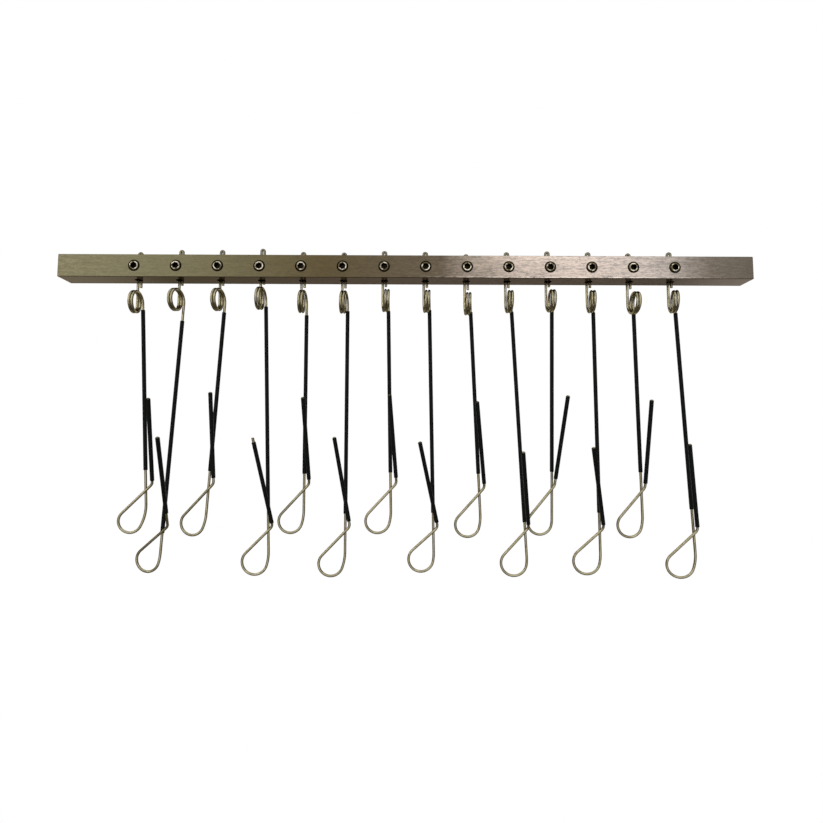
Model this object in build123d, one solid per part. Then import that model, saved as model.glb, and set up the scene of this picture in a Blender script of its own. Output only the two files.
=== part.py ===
from build123d import *
from collections import namedtuple
from math import asin, atan, cos, degrees, pi, radians, sin, sqrt, tan
import os

# Instrument rack, in millimetres: a square bar with a row of spring-wire hooks,
# each doubled over at its top, pushed up through the bar and held by a set screw.
# +X runs along the bar to the right, +Y to its back, +Z up. The origin is the
# centre of the bar's back face.

# Bar
bar_side = 16.0
hook_spacing = 29.0
left_margin = 53.0
right_margin = 55.0
bar_edge_break = 0.3

# Spring wire, one size for every hook
wire_diameter = 1.8
hairpin_gap = 0.4
hairpin_to_coil = 38.1
tail_length = 26.0
coil_mean_radius = 7.1
coil_turns = 2
coil_turn_gap = 0.2
bends_per_turn = 4
straightening_radius = 20.0
coil_drop = 16.0
leg_swing = 0.5
short_leg = 130.5
long_leg = 159.0
loop_radius = 8.3
loop_shoulder_radius = 30.0
crossing_gap = 0.1
free_leg_bend_radius = 4.5
stub = 0.5

# Black sleeves on the main leg and on the free leg
sleeve_wall = 0.45
sleeve_play = 0.02
short_sleeve = 112.5
long_sleeve = 142.5
free_sleeve = 58.5

# Holes in the bar for the doubled wire
hole_play = 1.5
wall_clearance = 0.15

# Set screws in the front face
screw_diameter = 8.0
screw_chamfer = 1.1
screw_stand_out = 1.0
screw_hex = 4.0
screw_hex_depth = 4.5
screw_play = 0.08
screw_tip_clearance = 0.1
tapped_past_axis = 1.2

# How each hook is set and bent, from left to right, because no two came out alike.
# drop and loop are added to coil_drop and loop_radius. yaw turns the hook in its
# hole. lean is the main leg's slope to the right. neck is the angle at which the
# wire crosses the leg, and shoulder is how far the leg has curved by the foot of
# the loop. reach is the straight past the crossing, and bare is the wire that
# shows before the free sleeve. splay and open are the free leg's slope to the
# right and to the front. gap is from the coil's centre to the main sleeve. swing
# is the main leg's slope to the back, and stub is the wire's end past its sleeve.
columns = "leg sleeve drop yaw lean loop neck shoulder reach bare splay open gap swing stub"
Hook = namedtuple("Hook", columns, defaults=(leg_swing, stub))
hooks = [
    Hook(short_leg + 0.7, short_sleeve + 0.3, 1.2, 1, 3.0, -0.5, 49, 31, 5.8, 1.0, 5.7, 22, 3.7),
    Hook(long_leg + 0.5, long_sleeve + 5.5, -0.5, -9, -3.5, -0.2, 47, 13, 5.5, 9.9, 7.2, 32, 11.7),
    Hook(short_leg + 0.4, short_sleeve - 0.8, -0.6, -7, -3.5, -0.2, 41, 19, 5.5, 2.4, 0.8, 13, 5.6),
    Hook(long_leg + 1.8, long_sleeve - 2.2, -1.6, -2, 1.8, 0.3, 47, 18, 2.8, 0.3, -8.6, 20, 4.0, stub=3.0),
    Hook(short_leg - 0.6, short_sleeve - 1.0, 0.6, 0, 0.1, -0.3, 43, 18, 3.9, 1.8, -0.5, 24, 7.4),
    Hook(long_leg - 1.1, long_sleeve - 0.7, 0.9, -2, 0.0, 0.0, 44, 21, 2.9, 1.8, -9.1, 13, 4.0),
    Hook(short_leg, short_sleeve + 1.3, -0.3, 6, 1.0, 0.0, 44, 17, 3.5, 2.4, -4.2, 21, 5.3),
    Hook(long_leg - 0.6, long_sleeve - 0.4, 0.2, 1, 1.0, 0.2, 49, 11, 1.3, 1.4, -12.5, 20, 4.0),
    Hook(short_leg + 0.5, short_sleeve + 1.3, 1.8, -3, 2.4, 0.0, 44, 17, 3.1, 1.1, -7.5, 22, 4.1),
    Hook(long_leg - 0.7, long_sleeve + 5.0, 0.2, -2, 2.9, 0.5, 45, 10, 0.6, 0.8, -10.9, 33, 5.1),
    Hook(short_leg - 1.6, short_sleeve + 0.9, -0.5, 0, -0.5, 0.0, 38, 8, 0.6, 3.8, 4.7, 18, 4.5, swing=2.0),
    Hook(long_leg - 0.9, long_sleeve - 2.1, 0.0, -8, 0.5, 0.5, 47, 14, 0.6, 0.5, -14.6, 25, 5.4),
    Hook(short_leg - 0.9, short_sleeve - 0.9, 0.7, 1, 1.0, 0.2, 41, 16, 0.6, 1.3, -2.3, 19, 5.9),
    Hook(long_leg + 0.8, long_sleeve - 4.7, -0.2, -12, 2.9, 0.5, 47, 22, 0.6, 0.5, -10.9, 15, 6.0),
]

# Sizes worked out from the ones above
hook_count = len(hooks)
bar_length = left_margin + (hook_count - 1) * hook_spacing + right_margin
bar_axis_y = -bar_side / 2
wire_radius = wire_diameter / 2
hairpin_radius = (hairpin_gap + wire_diameter) / 2
hole_radius = (hairpin_gap + 2 * wire_diameter + hole_play) / 2
hairpin_seat = sqrt((hole_radius - wire_radius - wall_clearance) ** 2 - hairpin_radius ** 2)
coil_pitch = wire_diameter + coil_turn_gap
half_bend = pi / bends_per_turn
coil_slope = atan(coil_pitch / (2 * bends_per_turn * coil_mean_radius * tan(half_bend)))
sleeve_bore_radius = wire_radius + sleeve_play
sleeve_radius = sleeve_bore_radius + sleeve_wall
crossing_offset = sleeve_radius + wire_radius + crossing_gap
screw_radius = screw_diameter / 2
screw_length = bar_side / 2 + screw_stand_out

right = Vector(1, 0, 0)
back = Vector(0, 1, 0)
up = Vector(0, 0, 1)


def hook_x(index):
    """Where the hook of this index stands along the bar."""
    return -bar_length / 2 + left_margin + index * hook_spacing


def turned(vector, axis, angle):
    """The vector turned about an axis through the origin, in radians."""
    return vector.rotate(Axis((0, 0, 0), axis), degrees(angle))


def slope(sideways, backward, vertical):
    """A direction from its slopes in degrees against the vertical."""
    return Vector(tan(radians(sideways)), tan(radians(backward)), vertical).normalized()


class BentWire:
    """A path made as on a wire bench: feed straight, bend round a pin, wind a coil."""

    def __init__(self, start, heading):
        self.place = start
        self.heading = heading.normalized()
        self.edges = []

    def feed(self, length):
        end = self.place + self.heading * length
        self.edges.append(Edge.make_line(self.place, end))
        self.place = end

    def bend(self, radius, angle, side):
        """Bend through an angle in radians towards the side."""
        inward = (side - self.heading * self.heading.dot(side)).normalized()
        axis = self.heading.cross(inward)
        pin = self.place + inward * radius
        middle = pin + turned(self.place - pin, axis, angle / 2)
        end = pin + turned(self.place - pin, axis, angle)
        self.edges.append(Edge.make_three_point_arc(self.place, middle, end))
        self.place = end
        self.heading = turned(self.heading, axis, angle)

    def bend_to(self, radius, direction):
        """Bend round a pin until the wire points in the direction."""
        self.bend(radius, radians(self.heading.get_angle(direction)), direction)

    def wind(self, radius, turns, pitch, axis):
        """Wind whole turns that advance along the axis, each as equal bends that run into one another."""
        rise = pitch / bends_per_turn
        chord = sqrt((2 * radius * sin(half_bend)) ** 2 + rise ** 2)
        for _ in range(bends_per_turn * turns):
            following = turned(self.heading, axis, -2 * half_bend)
            bend_angle = radians(self.heading.get_angle(following))
            self.bend_to(chord / (2 * sin(bend_angle / 2)), following)

    def solid(self, radius):
        path = Wire(self.edges)
        section = Plane(origin=path @ 0, z_dir=path % 0) * Circle(radius)
        return sweep(section, path=path)


def screw_tip_y(hook):
    """The tip stops just short of the nearer leg of the doubled wire."""
    yaw = radians(hook.yaw)
    nearer_leg = hairpin_seat * cos(yaw) - hairpin_radius * abs(sin(yaw))
    return bar_axis_y + nearer_leg - wire_radius - screw_tip_clearance


def make_bar():
    """Square bar with a through hole and a tapped hole for each hook."""
    bar = Pos(0, bar_axis_y, 0) * Box(bar_length, bar_side, bar_side)
    bar = chamfer(bar.edges(), bar_edge_break)
    tapped_depth = bar_side / 2 + tapped_past_axis
    tapped = Cylinder(screw_radius + screw_play, tapped_depth)
    cuts = []
    for index in range(hook_count):
        cuts.append(Pos(hook_x(index), bar_axis_y, 0) * Cylinder(hole_radius, bar_side))
        cuts.append(Pos(hook_x(index), tapped_depth / 2 - bar_side, 0) * Rot(90, 0, 0) * tapped)
    return bar - cuts


def make_screw(index):
    """Set screw with a hexagon socket at the front and a flat tip."""
    face_radius = screw_radius - screw_chamfer
    profile = Polyline(
        (0, 0),
        (face_radius, 0),
        (screw_radius, screw_chamfer),
        (screw_radius, screw_length - screw_chamfer),
        (face_radius, screw_length),
        (0, screw_length),
        close=True,
    )
    screw = revolve(Plane.XZ * make_face(profile), axis=Axis.Z)
    hexagon = RegularPolygon(screw_hex / 2, 6, major_radius=False)
    screw -= extrude(hexagon, screw_hex_depth)
    front_y = screw_tip_y(hooks[index]) - screw_length
    return Pos(hook_x(index), front_y, 0) * Rot(-90, 0, 0) * screw


def make_sleeve(start, direction, length):
    """Plain tube along a straight stretch of wire."""
    ring = Circle(sleeve_radius) - Circle(sleeve_bore_radius)
    return extrude(Plane(origin=start, z_dir=direction) * ring, length)


def loop_lengths(radius, shoulder, neck):
    """A crossed loop's straight on the way down, its straight on the way back up, and its height."""
    widening = loop_shoulder_radius * (1 - cos(shoulder))
    rise = (widening + radius * (cos(shoulder) + cos(neck))) / sin(neck)
    shoulder_drop = (loop_shoulder_radius - radius) * sin(shoulder)
    fall = rise * cos(neck) + radius * sin(neck) - shoulder_drop
    return fall, rise, fall + shoulder_drop + radius


def make_hook(index):
    """One bent wire with its two sleeves: tail, hairpin, coil, leg, crossed loop, free leg."""
    hook = hooks[index]
    across = turned(right, up, radians(hook.yaw))
    behind = turned(back, up, radians(hook.yaw))
    hole = Vector(hook_x(index), bar_axis_y, 0) + behind * hairpin_seat
    hairpin_straight = hairpin_radius + wire_radius
    hairpin_top = hairpin_to_coil - bar_side / 2 - coil_drop - hook.drop

    tail_end = hole + across * hairpin_radius + up * (hairpin_top - tail_length)
    wire = BentWire(tail_end, up)
    wire.feed(tail_length - hairpin_straight)
    wire.bend(hairpin_radius, pi, -across)
    wire.feed(hairpin_to_coil - hairpin_straight - straightening_radius * sin(coil_slope))
    wire.bend(straightening_radius, coil_slope, across)
    wire.wind(coil_mean_radius, coil_turns, coil_pitch, across)
    wire.bend_to(straightening_radius, slope(hook.lean, hook.swing, -1))

    leg_direction = wire.heading
    leg_top = wire.place
    neck = radians(hook.neck)
    shoulder = radians(hook.shoulder)
    foot_radius = loop_radius + hook.loop
    fall, rise, height = loop_lengths(foot_radius, shoulder, neck)
    wire.feed(hook.leg + fall)
    wire.bend(loop_shoulder_radius, shoulder, -across)
    wire.bend(foot_radius, pi / 2 - shoulder, -across)
    # The rest of the loop twists back, so that it passes behind the leg and its sleeve where they cross
    twist = asin(crossing_offset / height)
    rising = turned(-leg_direction, wire.heading, -twist)
    wire.bend(foot_radius, pi / 2 + neck, rising)
    wire.feed(rise + hook.reach)
    wire.bend_to(free_leg_bend_radius, slope(hook.splay, -hook.open, 1))
    free_leg_start = wire.place + wire.heading * hook.bare
    wire.feed(hook.bare + free_sleeve + hook.stub)

    leg_sleeve = make_sleeve(leg_top + leg_direction * hook.gap, leg_direction, hook.sleeve)
    tip_sleeve = make_sleeve(free_leg_start, wire.heading, free_sleeve)
    return wire.solid(wire_radius), leg_sleeve, tip_sleeve


def save(shape, name):
    """Write one piece to its own file."""
    solid = shape.solids()[0]
    solid.label = name
    export_step(solid, f"parts/{name}.step")


def main():
    os.makedirs("parts", exist_ok=True)
    save(make_bar(), "bar")
    for index in range(hook_count):
        number = f"{index + 1:02d}"
        wire, leg_sleeve, tip_sleeve = make_hook(index)
        save(wire, f"hook_wire_{number}")
        save(leg_sleeve, f"leg_sleeve_{number}")
        save(tip_sleeve, f"tip_sleeve_{number}")
        save(make_screw(index), f"clamp_screw_{number}")


main()
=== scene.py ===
from math import ceil, cos, pi, radians, sin

import bmesh
import bpy
from mathutils import Matrix, Vector


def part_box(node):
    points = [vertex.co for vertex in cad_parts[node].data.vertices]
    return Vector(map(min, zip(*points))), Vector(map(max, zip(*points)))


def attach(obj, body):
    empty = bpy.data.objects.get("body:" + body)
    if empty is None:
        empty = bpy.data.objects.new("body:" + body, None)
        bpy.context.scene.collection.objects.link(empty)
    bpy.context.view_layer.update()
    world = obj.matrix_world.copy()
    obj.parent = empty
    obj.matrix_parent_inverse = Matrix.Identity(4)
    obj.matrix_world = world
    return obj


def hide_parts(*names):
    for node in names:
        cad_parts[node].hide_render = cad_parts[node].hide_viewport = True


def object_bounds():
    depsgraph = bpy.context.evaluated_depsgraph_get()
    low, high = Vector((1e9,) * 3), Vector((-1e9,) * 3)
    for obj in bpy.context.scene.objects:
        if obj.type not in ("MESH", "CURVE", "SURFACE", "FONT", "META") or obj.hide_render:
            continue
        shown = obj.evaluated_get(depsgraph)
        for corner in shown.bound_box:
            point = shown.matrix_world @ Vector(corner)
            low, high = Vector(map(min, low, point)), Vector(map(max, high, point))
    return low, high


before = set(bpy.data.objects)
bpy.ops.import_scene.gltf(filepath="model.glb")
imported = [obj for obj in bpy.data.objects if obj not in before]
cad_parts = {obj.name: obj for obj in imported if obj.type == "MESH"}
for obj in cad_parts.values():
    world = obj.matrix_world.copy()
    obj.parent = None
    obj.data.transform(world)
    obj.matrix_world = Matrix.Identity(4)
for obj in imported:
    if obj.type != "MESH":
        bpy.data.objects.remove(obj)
cad_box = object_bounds()
MM = 0.001

# Camera, placed where the photograph was taken from, and its picture
CAMERA_PLACE = Vector((2.425, -390.67, -131.31)) * MM
CAMERA_PITCH = radians(4.56)
CAMERA_YAW = radians(0.22)
CAMERA_ROLL = radians(0.154)
CAMERA_CLIP_START = 10 * MM
IMAGE_SIDE_PIXELS = 823
FOCAL_PIXELS = 551.0
SENSOR_WIDTH = 36.0

# The rack's own count and sizes
HOOK_COUNT = sum(name.startswith("clamp_screw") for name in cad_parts)
BAR_LOW, BAR_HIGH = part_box("bar")
RACK_MIDDLE = Vector((0, BAR_LOW.y / 2, cad_box[0][2] / 2))

# Bar: colours of its front and its underside, each at a share of its length from the left; the front's
# colours are painted reflection, bronze at the left and pale to the right
BAR_FRONT_PAINTED_REFLECTION = [
    (0.00, (0.272, 0.246, 0.148)),
    (0.18, (0.205, 0.183, 0.104)),
    (0.38, (0.118, 0.090, 0.045)),
    (0.55, (0.135, 0.107, 0.074)),
    (0.60, (0.335, 0.283, 0.232)),
    (0.67, (0.425, 0.366, 0.316)),
    (0.87, (0.365, 0.326, 0.292)),
    (0.94, (0.192, 0.162, 0.130)),
    (1.00, (0.172, 0.146, 0.116)),
]
# The underside's colours are painted shade, lighter towards both ends
BAR_UNDERSIDE_PAINTED_SHADE = [
    (0.00, (0.275, 0.230, 0.165)),
    (0.15, (0.080, 0.064, 0.044)),
    (0.52, (0.118, 0.092, 0.075)),
    (0.80, (0.108, 0.087, 0.074)),
    (0.88, (0.096, 0.079, 0.067)),
    (1.00, (0.340, 0.283, 0.240)),
]

# Bar: shares of its length between which the painted reflection streaks and the pale stretch of the
# painted reflection fade in and out
REFLECTION_STREAKS_IN = (0.50, 0.66)
REFLECTION_STREAKS_OUT = (0.97, 0.84)
PAINTED_REFLECTION_IN = (0.56, 0.62)
PAINTED_REFLECTION_OUT = (0.85, 0.70)

# Bar: shades that its own colour is multiplied by: painted shade at the foot of the pale painted
# reflection, fine brushing marks, and brushing marks strengthened into painted reflection streaks
PAINTED_FOOT_SHADE = (0.72, 0.72, 0.72)
FINE_MARKS = ((0.88, 0.88, 0.88), (1.10, 1.10, 1.09))
REFLECTION_STREAK_MARKS = ((0.54, 0.55, 0.57), (1.36, 1.31, 1.29))

# Bar: heights between which the front's colour gives way to the underside's
FRONT_FOOT = BAR_LOW.z + 0.35 * MM
UNDERSIDE_HEIGHT = BAR_LOW.z + 0.01 * MM

# Bar: heights and colour of the painted highlight along the front's lower edge
EDGE_HIGHLIGHT_FOOT = BAR_LOW.z + 0.25 * MM
EDGE_HIGHLIGHT_PEAK = BAR_LOW.z + 0.60 * MM
EDGE_HIGHLIGHT_TOP = BAR_LOW.z + 1.10 * MM
EDGE_HIGHLIGHT_COLOUR = (0.70, 0.62, 0.55)

# Bar: width and colour of the painted shade along the underside's back edge
BACK_EDGE_SHADE_WIDTH = 2.5 * MM
BACK_EDGE_SHADE_COLOUR = (0.010, 0.008, 0.005)

# Wire, tube and screw: colours, and the height above the bar over which painted shade darkens the wire's
# top bend
WIRE_OLIVE = (0.350, 0.314, 0.195)
WIRE_PALE = (0.480, 0.438, 0.300)
WIRE_MARK = (0.230, 0.190, 0.112)
WIRE_TOP_SHADE = (0.200, 0.185, 0.130)
WIRE_TOP_SHADE_FADE = 1.0 * MM
TUBE_BLACK = (0.0040, 0.0055, 0.0050)
TUBE_SCUFF = (0.010, 0.012, 0.011)
SCREW_STAIN = (0.110, 0.088, 0.048)
SCREW_BRIGHT = (0.740, 0.680, 0.540)
# The chamfer's colours are painted shade on the screw's steel
CHAMFER_DARK = (0.070, 0.060, 0.030)
CHAMFER_OLIVE = (0.150, 0.128, 0.075)
# The thread's and socket's colours are painted shade on the screw's steel
THREAD_BLACK = (0.012, 0.009, 0.006)
THREAD_BROWN = (0.040, 0.031, 0.018)

# Tint of the metals at a glancing angle, and strength of the tube's surface reflection
DARK_GLANCE = (0.46, 0.44, 0.41, 1.0)
DARKER_GLANCE = (0.10, 0.08, 0.05, 1.0)
TUBE_SHEEN = 0.08

# Depth of the marks in each finish
BRUSHING_DEPTH = 0.020 * MM
DRAWING_DEPTH = 0.003 * MM
SCUFF_DEPTH = 0.015 * MM
TURNING_DEPTH = 0.020 * MM

# Set screw, M8 with a 4 mm hexagon socket. Its flanks would rise past the crests, which are flat
THREAD_PITCH = 1.25 * MM
THREAD_DEPTH = 0.72 * MM
THREAD_FLANK_RISE = 1.18
SOCKET_ACROSS_FLATS = 4.0 * MM
SOCKET_DEPTH = 4.5 * MM
SOCKET_POINT = 0.6 * MM
SOCKET_MOUTH_BEVEL = 0.12 * MM
SCREW_CHAMFER = 1.1 * MM
FACE_EDGE_BEVEL = 0.10 * MM
CHAMFER_LEFT_BARE = 0.40 * MM
SCREW_SEGMENTS = 60
STEPS_PER_PITCH = 10
SCREW_TURN_STEP = radians(37)
SHARP_ANGLE = radians(32)

# Floor and room: sizes in metres, and colours
FLOOR_DROP = 0.30
FLOOR_SIZE = 30.0
FLOOR_COLOUR = (0.80, 0.80, 0.79, 1.0)
ROOM_COLOUR = (1.0, 0.98, 0.94, 1.0)
ROOM_LEVEL = 0.8
WHITE = (1.0, 1.0, 1.0)

# Room as metal sees it: colour of its sides and foot, and the part of a direction that points
# sideways or down where the dimming starts and ends
DIM_SIDES = (0.16, 0.14, 0.11)
DIM_START = 0.45
DIM_END = 0.72

# Lamps: place, width and height in metres, strength in watts, tint
WINDOW = ((0.45, -1.11, 0.39), (0.42, 0.42), 0.75, (1.0, 0.96, 0.95))
LEFT_LAMP = ((-1.30, -0.80, 0.55), (0.40, 1.30), 6.0, (1.0, 0.98, 0.90))


class Field:
    """What a node gives: a value, colour or shader. Sums on values are written as in Python."""

    def __init__(self, finish, socket):
        self.finish = finish
        self.socket = socket

    def combine(self, operation, first, second):
        return self.finish.node("ShaderNodeMath", {"operation": operation}, {0: first, 1: second})

    def __add__(self, other):
        return self.combine("ADD", self, other)

    def __radd__(self, other):
        return self.combine("ADD", other, self)

    def __mul__(self, other):
        return self.combine("MULTIPLY", self, other)

    def __rmul__(self, other):
        return self.combine("MULTIPLY", other, self)

    def __abs__(self):
        return self.finish.node("ShaderNodeMath", {"operation": "ABSOLUTE"}, {0: self})

    def or_larger(self, other):
        return self.combine("MAXIMUM", self, other)

    def clamped(self):
        return self.finish.node("ShaderNodeClamp", {}, {"Value": self, "Min": 0.0, "Max": 1.0})


class Finish:
    """The nodes of one material, or of the world, and the surface that they feed."""

    def __init__(self, owner):
        owner.use_nodes = True
        self.owner = owner
        self.tree = owner.node_tree
        self.tree.nodes.clear()

    @classmethod
    def material(cls, name):
        return cls(bpy.data.materials.new(name))

    def node(self, kind, settings=None, sockets=None, output=0):
        """Add a node: its settings first, then the values or links of its sockets."""
        made = self.tree.nodes.new(kind)
        for name, value in (settings or {}).items():
            if name == "stops":
                self.set_stops(made.color_ramp, value)
            else:
                setattr(made, name, value)
        for name, value in (sockets or {}).items():
            if isinstance(value, Field):
                self.tree.links.new(value.socket, made.inputs[name])
            else:
                made.inputs[name].default_value = value
        return Field(self, made.outputs[output]) if len(made.outputs) else None

    @staticmethod
    def set_stops(ramp, stops):
        while len(ramp.elements) < len(stops):
            ramp.elements.new(1.0)
        for element, (position, colour) in zip(ramp.elements, stops):
            element.position = position
            element.color = (*colour, 1.0)

    def place(self):
        """The place on the piece, in the rack's own frame and in metres."""
        return self.node("ShaderNodeTexCoord", output="Object")

    def axis(self, name, vector=None):
        """One coordinate of the place on the piece, or of another vector."""
        return self.node("ShaderNodeSeparateXYZ", {}, {"Vector": vector or self.place()}, name)

    def noise(self, per_metre, detail, roughness=0.55):
        """Noise between 0 and 1, with its own fineness along each axis."""
        stretched = self.node("ShaderNodeVectorMath", {"operation": "MULTIPLY"},
                              {0: self.place(), 1: tuple(per_metre)})
        return self.node("ShaderNodeTexNoise", {},
                         {"Vector": stretched, "Scale": 1.0, "Detail": detail, "Roughness": roughness})

    def between(self, value, start, end):
        """Goes from 0 at start to 1 at end, and stays there past both. Start may be the larger."""
        return self.node("ShaderNodeMapRange", {"clamp": True},
                         {"Value": value, "From Min": start, "From Max": end})

    def ramp(self, value, stops):
        return self.node("ShaderNodeValToRGB", {"stops": stops}, {"Fac": value})

    def mix(self, factor, first, second, kind="MIX"):
        """Two colours mixed by a factor."""
        def colour(value):
            return value if isinstance(value, Field) else (*value, 1.0)
        return self.node("ShaderNodeMix", {"data_type": "RGBA", "blend_type": kind},
                         {0: factor, 6: colour(first), 7: colour(second)}, 2)

    def times(self, first, second):
        """Two colours multiplied."""
        return self.mix(1.0, first, second, "MULTIPLY")

    def bump(self, height, depth):
        """A normal from a height between 0 and 1, its depth in metres."""
        return self.node("ShaderNodeBump", {}, {"Height": height, "Distance": depth, "Strength": 1.0})

    def surface(self, **sockets):
        """Finish the material with its one shader, whose sockets are given by name."""
        named = {name.replace("_", " "): value for name, value in sockets.items()}
        shader = self.node("ShaderNodeBsdfPrincipled", {}, named)
        self.node("ShaderNodeOutputMaterial", {}, {"Surface": shader})
        return self.owner


def brushed_bar():
    """Square bar stock, brushed along its length, with painted reflection from bronze at the left to pale
    at the right, painted shade below and a painted highlight on its lower edge.
    """
    finish = Finish.material("brushed_bar")
    along = finish.between(finish.axis("X"), BAR_LOW.x, BAR_HIGH.x)
    height = finish.axis("Z")
    # Where the brushing marks are strengthened into painted reflection streaks
    reflection_streaks = finish.between(along, *REFLECTION_STREAKS_IN) * finish.between(along, *REFLECTION_STREAKS_OUT)
    # The stretch where the painted reflection is pale
    pale = finish.between(along, *PAINTED_REFLECTION_IN) * finish.between(along, *PAINTED_REFLECTION_OUT)

    # The front's colour is painted reflection, bronze at the left and pale to the right
    front = finish.ramp(along, BAR_FRONT_PAINTED_REFLECTION)
    # Painted shade darkens the pale painted reflection towards the front's foot
    foot_shade = pale * finish.between(height, BAR_HIGH.z, BAR_LOW.z)
    front = finish.mix(foot_shade, front, finish.times(front, PAINTED_FOOT_SHADE))
    # A darker painted shade along the underside's back edge
    back_edge_shade = finish.between(finish.axis("Y"), -BACK_EDGE_SHADE_WIDTH, 0.0)
    # The underside's colour is painted shade
    under = finish.mix(back_edge_shade, finish.ramp(along, BAR_UNDERSIDE_PAINTED_SHADE), BACK_EDGE_SHADE_COLOUR)
    plain = finish.mix(finish.between(height, FRONT_FOOT, UNDERSIDE_HEIGHT), front, under)

    streaks = finish.noise((120, 1400, 1400), detail=5.0, roughness=0.6)
    patches = finish.noise((390, 1150, 1150), detail=2.0, roughness=0.6)
    marks = 0.5 * streaks + 0.5 * patches
    shade = finish.between(marks, 0.40, 0.60)
    # Fine brushing marks, and along the pale stretch brushing marks strengthened into painted reflection
    # streaks
    marks_and_reflection_streaks = finish.mix(reflection_streaks, finish.mix(shade, *FINE_MARKS), finish.mix(shade, *REFLECTION_STREAK_MARKS))
    brushed = finish.times(plain, marks_and_reflection_streaks)

    # A painted highlight along the front's lower edge, dotted by the brushing marks
    above_foot = finish.between(height, EDGE_HIGHLIGHT_FOOT, EDGE_HIGHLIGHT_PEAK)
    below_top = finish.between(height, EDGE_HIGHLIGHT_TOP, EDGE_HIGHLIGHT_PEAK)
    edge_highlight = below_top * above_foot * reflection_streaks * finish.between(marks, 0.44, 0.54)
    return finish.surface(
        Base_Color=finish.mix(edge_highlight, brushed, EDGE_HIGHLIGHT_COLOUR),
        Metallic=1.0,
        Roughness=0.20 + 0.10 * shade,
        Specular_Tint=DARK_GLANCE,
        Normal=finish.bump(marks, BRUSHING_DEPTH),
    )


def drawn_wire():
    """Bright drawn spring wire with an olive tint and faint drawing marks, and painted shade at its top
    bend.
    """
    finish = Finish.material("drawn_wire")
    clouds = finish.noise((240, 240, 240), detail=3.0)
    fine = finish.noise((2600, 2600, 900), detail=4.0, roughness=0.6)
    clouded = finish.mix(finish.between(clouds, 0.35, 0.65), WIRE_OLIVE, WIRE_PALE)
    marked = finish.mix(finish.between(fine, 0.50, 0.72), clouded, WIRE_MARK)
    # Painted shade on the wire's top bend above the bar
    top_bend_shade = finish.between(finish.axis("Z"), BAR_HIGH.z, BAR_HIGH.z + WIRE_TOP_SHADE_FADE)
    return finish.surface(
        Base_Color=finish.mix(top_bend_shade, marked, WIRE_TOP_SHADE),
        Metallic=1.0,
        Roughness=0.16 + 0.12 * fine,
        Specular_Tint=DARKER_GLANCE,
        Normal=finish.bump(fine, DRAWING_DEPTH),
    )


def black_tube():
    """Satin black tube with light scuffs."""
    finish = Finish.material("black_tube")
    scuffs = finish.noise((1500, 1500, 260), detail=5.0, roughness=0.6)
    return finish.surface(
        Base_Color=finish.mix(finish.between(scuffs, 0.56, 0.74), TUBE_BLACK, TUBE_SCUFF),
        Metallic=0.0,
        Roughness=0.42 + 0.14 * scuffs,
        Specular_IOR_Level=TUBE_SHEEN,
        Normal=finish.bump(scuffs, SCUFF_DEPTH),
    )


def screw_metal():
    """Turned steel of the screw's face, with stains."""
    finish = Finish.material("screw_metal")
    fine = finish.noise((3000, 3000, 3000), detail=4.0)
    clouds = finish.noise((330, 330, 330), detail=2.0)
    return finish.surface(
        Base_Color=finish.mix(finish.between(clouds, 0.46, 0.60), SCREW_STAIN, SCREW_BRIGHT),
        Metallic=1.0,
        Roughness=0.24 + 0.14 * fine,
        Normal=finish.bump(fine, TURNING_DEPTH),
    )


def shaded_chamfer():
    """Olive steel where the face slopes back to the thread, darkened with painted shade."""
    finish = Finish.material("shaded_chamfer")
    fine = finish.noise((3000, 3000, 3000), detail=4.0)
    return finish.surface(
        Base_Color=finish.mix(finish.between(fine, 0.40, 0.70), CHAMFER_DARK, CHAMFER_OLIVE),
        Metallic=1.0,
        Roughness=0.34 + 0.14 * fine,
        Specular_Tint=DARKER_GLANCE,
        Normal=finish.bump(fine, TURNING_DEPTH),
    )


def dark_thread():
    """Steel of the thread and the inside of the socket, darkened with painted shade."""
    finish = Finish.material("dark_thread")
    fine = finish.noise((2400, 2400, 2400), detail=4.0)
    return finish.surface(
        Base_Color=finish.mix(finish.between(fine, 0.40, 0.70), THREAD_BLACK, THREAD_BROWN),
        Metallic=1.0,
        Roughness=0.38 + 0.15 * fine,
        Specular_Tint=DARK_GLANCE,
        Normal=finish.bump(fine, TURNING_DEPTH),
    )


def dress_nodes():
    """Give the pieces that keep their own shape their finishes."""
    tube = black_tube()
    finishes = {"bar": brushed_bar(), "hook_wire": drawn_wire(), "leg_sleeve": tube, "tip_sleeve": tube}
    for name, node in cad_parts.items():
        kind = name.rstrip("0123456789").rstrip("_")
        if kind in finishes:
            node.data.materials.clear()
            node.data.materials.append(finishes[kind])


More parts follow.
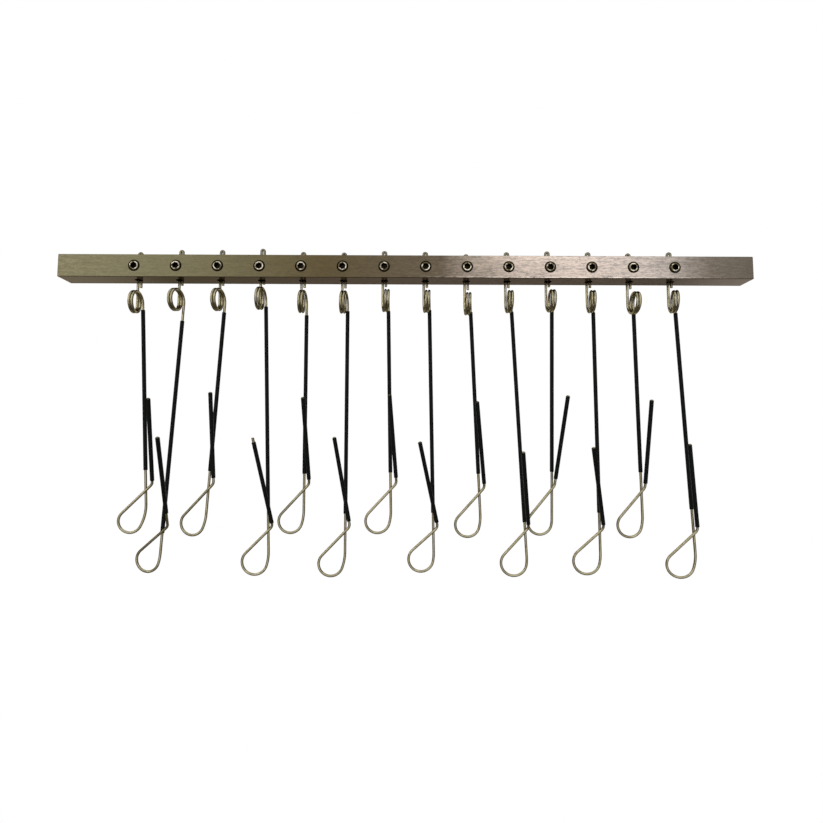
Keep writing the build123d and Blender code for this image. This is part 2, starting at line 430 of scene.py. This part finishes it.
def screw_mesh(name, length, radius, turn):
    """A set screw along +Y from its face at the origin: socket, face, chamfer, thread, flat tip."""
    core = radius - THREAD_DEPTH
    face = radius - SCREW_CHAMFER
    mesh = bmesh.new()

    def ring(depth, radius_at):
        points = []
        for step in range(SCREW_SEGMENTS):
            angle = 2 * pi * step / SCREW_SEGMENTS
            reach = radius_at(angle)
            points.append(mesh.verts.new((reach * cos(angle), depth, reach * sin(angle))))
        return points

    def skin(first, second, slot):
        for step in range(SCREW_SEGMENTS):
            after = (step + 1) % SCREW_SEGMENTS
            corners = (first[step], first[after], second[after], second[step])
            mesh.faces.new(corners).material_index = slot

    def hexagon(angle):
        return SOCKET_ACROSS_FLATS / 2 / cos((angle + turn) % (pi / 3) - pi / 6)

    def bevelled_hexagon(angle):
        return hexagon(angle) + SOCKET_MOUTH_BEVEL

    def thread(depth):
        """The thread's reach at a depth from the face, flat on top and chamfered at both ends."""
        def reach(angle):
            phase = (depth / THREAD_PITCH - angle / (2 * pi)) % 1.0
            crest = 1.0 - abs(2.0 * phase - 1.0)
            ridge = core + THREAD_DEPTH * min(1.0, THREAD_FLANK_RISE * crest)
            return min(ridge, face + depth, face + length - depth)
        return reach

    # Slots: the bright face, and painted shade on the chamfer and on the thread and socket
    bright, shaded, dark = 0, 1, 2
    bottom = mesh.verts.new((0, SOCKET_DEPTH + SOCKET_POINT, 0))
    deep = ring(SOCKET_DEPTH, hexagon)
    lip = ring(SOCKET_MOUTH_BEVEL, hexagon)
    mouth = ring(0, bevelled_hexagon)
    face_edge = ring(0, lambda angle: face - FACE_EDGE_BEVEL)
    for step in range(SCREW_SEGMENTS):
        after = (step + 1) % SCREW_SEGMENTS
        mesh.faces.new((bottom, deep[after], deep[step])).material_index = dark
    skin(deep, lip, dark)
    skin(lip, mouth, bright)
    skin(mouth, face_edge, bright)
    before = ring(FACE_EDGE_BEVEL / 2, lambda angle: face)
    skin(face_edge, before, bright)
    rows = ceil(length / THREAD_PITCH * STEPS_PER_PITCH)
    for row in range(1, rows + 1):
        depth = length * row / rows
        following = ring(depth, thread(depth))
        skin(before, following, shaded if depth < CHAMFER_LEFT_BARE else dark)
        before = following
    mesh.faces.new(before).material_index = dark
    bmesh.ops.recalc_face_normals(mesh, faces=mesh.faces)
    made = bpy.data.meshes.new(name)
    mesh.to_mesh(made)
    mesh.free()
    return made


def smooth_by_angle(data, limit):
    """Smooth shading with the sharp edges kept sharp."""
    data.polygons.foreach_set("use_smooth", [True] * len(data.polygons))
    data.set_sharp_from_angle(angle=limit)


def add_screws():
    """A threaded set screw in place of each plain one."""
    finishes = (screw_metal(), shaded_chamfer(), dark_thread())
    for number in range(1, HOOK_COUNT + 1):
        node = f"clamp_screw_{number:02d}"
        low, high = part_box(node)
        radius = (high.x - low.x) / 2
        name = f"threaded_screw_{number:02d}"
        data = screw_mesh(name, high.y - low.y, radius, number * SCREW_TURN_STEP)
        for finish in finishes:
            data.materials.append(finish)
        centre = Vector(((low.x + high.x) / 2, low.y, (low.z + high.z) / 2))
        data.transform(Matrix.Translation(centre))
        smooth_by_angle(data, SHARP_ANGLE)
        screw = bpy.data.objects.new(name, data)
        bpy.context.scene.collection.objects.link(screw)
        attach(screw, f"screw_{number:02d}")
        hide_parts(node)


def ray_is(finish, kind):
    return finish.node("ShaderNodeLightPath", output=f"Is {kind} Ray")


def seen_as_background(finish):
    """1 for the camera and in glass and metal, 0 for the light that falls on the rack."""
    return (ray_is(finish, "Camera") + ray_is(finish, "Transmission") + ray_is(finish, "Glossy")).clamped()


def background_colour(finish):
    """White, and in metal dim to both sides and below, which gives round metal its dark edges."""
    towards = finish.node("ShaderNodeTexCoord", output="Generated")
    sideways = abs(finish.axis("X", towards))
    downwards = -1.0 * finish.axis("Z", towards)
    dim = finish.between(sideways.or_larger(downwards), DIM_START, DIM_END)
    return finish.mix(dim * ray_is(finish, "Glossy"), WHITE, DIM_SIDES)


def add_room():
    """An even light on the rack from all round, and the background that the camera and metal see."""
    world = bpy.data.worlds.new("room")
    bpy.context.scene.world = world
    finish = Finish(world)
    light = finish.node("ShaderNodeBackground", {}, {"Color": ROOM_COLOUR, "Strength": ROOM_LEVEL})
    white = finish.node("ShaderNodeBackground", {}, {"Color": background_colour(finish), "Strength": 1.0})
    both = finish.node("ShaderNodeMixShader", {}, {0: seen_as_background(finish), 1: light, 2: white})
    finish.node("ShaderNodeOutputWorld", {}, {"Surface": both})


def add_floor():
    """A pale floor well below the hooks, white to the camera. Metal sees the room in its place."""
    finish = Finish.material("pale_floor")
    lit = finish.node("ShaderNodeBsdfDiffuse", {}, {"Color": FLOOR_COLOUR})
    white = finish.node("ShaderNodeEmission", {}, {"Color": (*WHITE, 1.0), "Strength": 1.0})
    both = finish.node("ShaderNodeMixShader", {}, {0: seen_as_background(finish), 1: lit, 2: white})
    finish.node("ShaderNodeOutputMaterial", {}, {"Surface": both})
    bpy.ops.mesh.primitive_plane_add(size=FLOOR_SIZE, location=(0, 0, cad_box[0][2] - FLOOR_DROP))
    floor = bpy.context.object
    floor.name = "floor"
    floor.visible_glossy = False
    floor.data.materials.append(finish.owner)


def add_lamp(name, place, size, strength, tint):
    """A soft lamp aimed at the middle of the rack."""
    lamp = bpy.data.lights.new(name, "AREA")
    lamp.shape = "RECTANGLE"
    lamp.size, lamp.size_y = size
    lamp.energy = strength
    lamp.color = tint
    holder = bpy.data.objects.new(name, lamp)
    bpy.context.scene.collection.objects.link(holder)
    holder.location = place
    holder.rotation_euler = (RACK_MIDDLE - Vector(place)).to_track_quat("-Z", "Y").to_euler()


def add_camera():
    """The photograph's viewpoint, with its small tilt and roll."""
    ahead = Vector((sin(CAMERA_YAW), cos(CAMERA_YAW), 0))
    forward = cos(CAMERA_PITCH) * ahead + Vector((0, 0, sin(CAMERA_PITCH)))
    level = Vector((cos(CAMERA_YAW), -sin(CAMERA_YAW), 0))
    upward = level.cross(forward)
    across = cos(CAMERA_ROLL) * level + sin(CAMERA_ROLL) * upward
    upright = cos(CAMERA_ROLL) * upward - sin(CAMERA_ROLL) * level
    data = bpy.data.cameras.new("camera")
    data.sensor_width = SENSOR_WIDTH
    data.lens = FOCAL_PIXELS / IMAGE_SIDE_PIXELS * SENSOR_WIDTH
    data.clip_start = CAMERA_CLIP_START
    camera = bpy.data.objects.new("camera", data)
    bpy.context.scene.collection.objects.link(camera)
    turned = Matrix((across, upright, -forward)).transposed().to_4x4()
    camera.matrix_world = Matrix.Translation(CAMERA_PLACE) @ turned
    bpy.context.scene.camera = camera


bpy.context.scene.view_settings.view_transform = "Standard"
dress_nodes()
add_screws()
add_floor()
add_room()
add_lamp("window", *WINDOW)
add_lamp("left_lamp", *LEFT_LAMP)
add_camera()
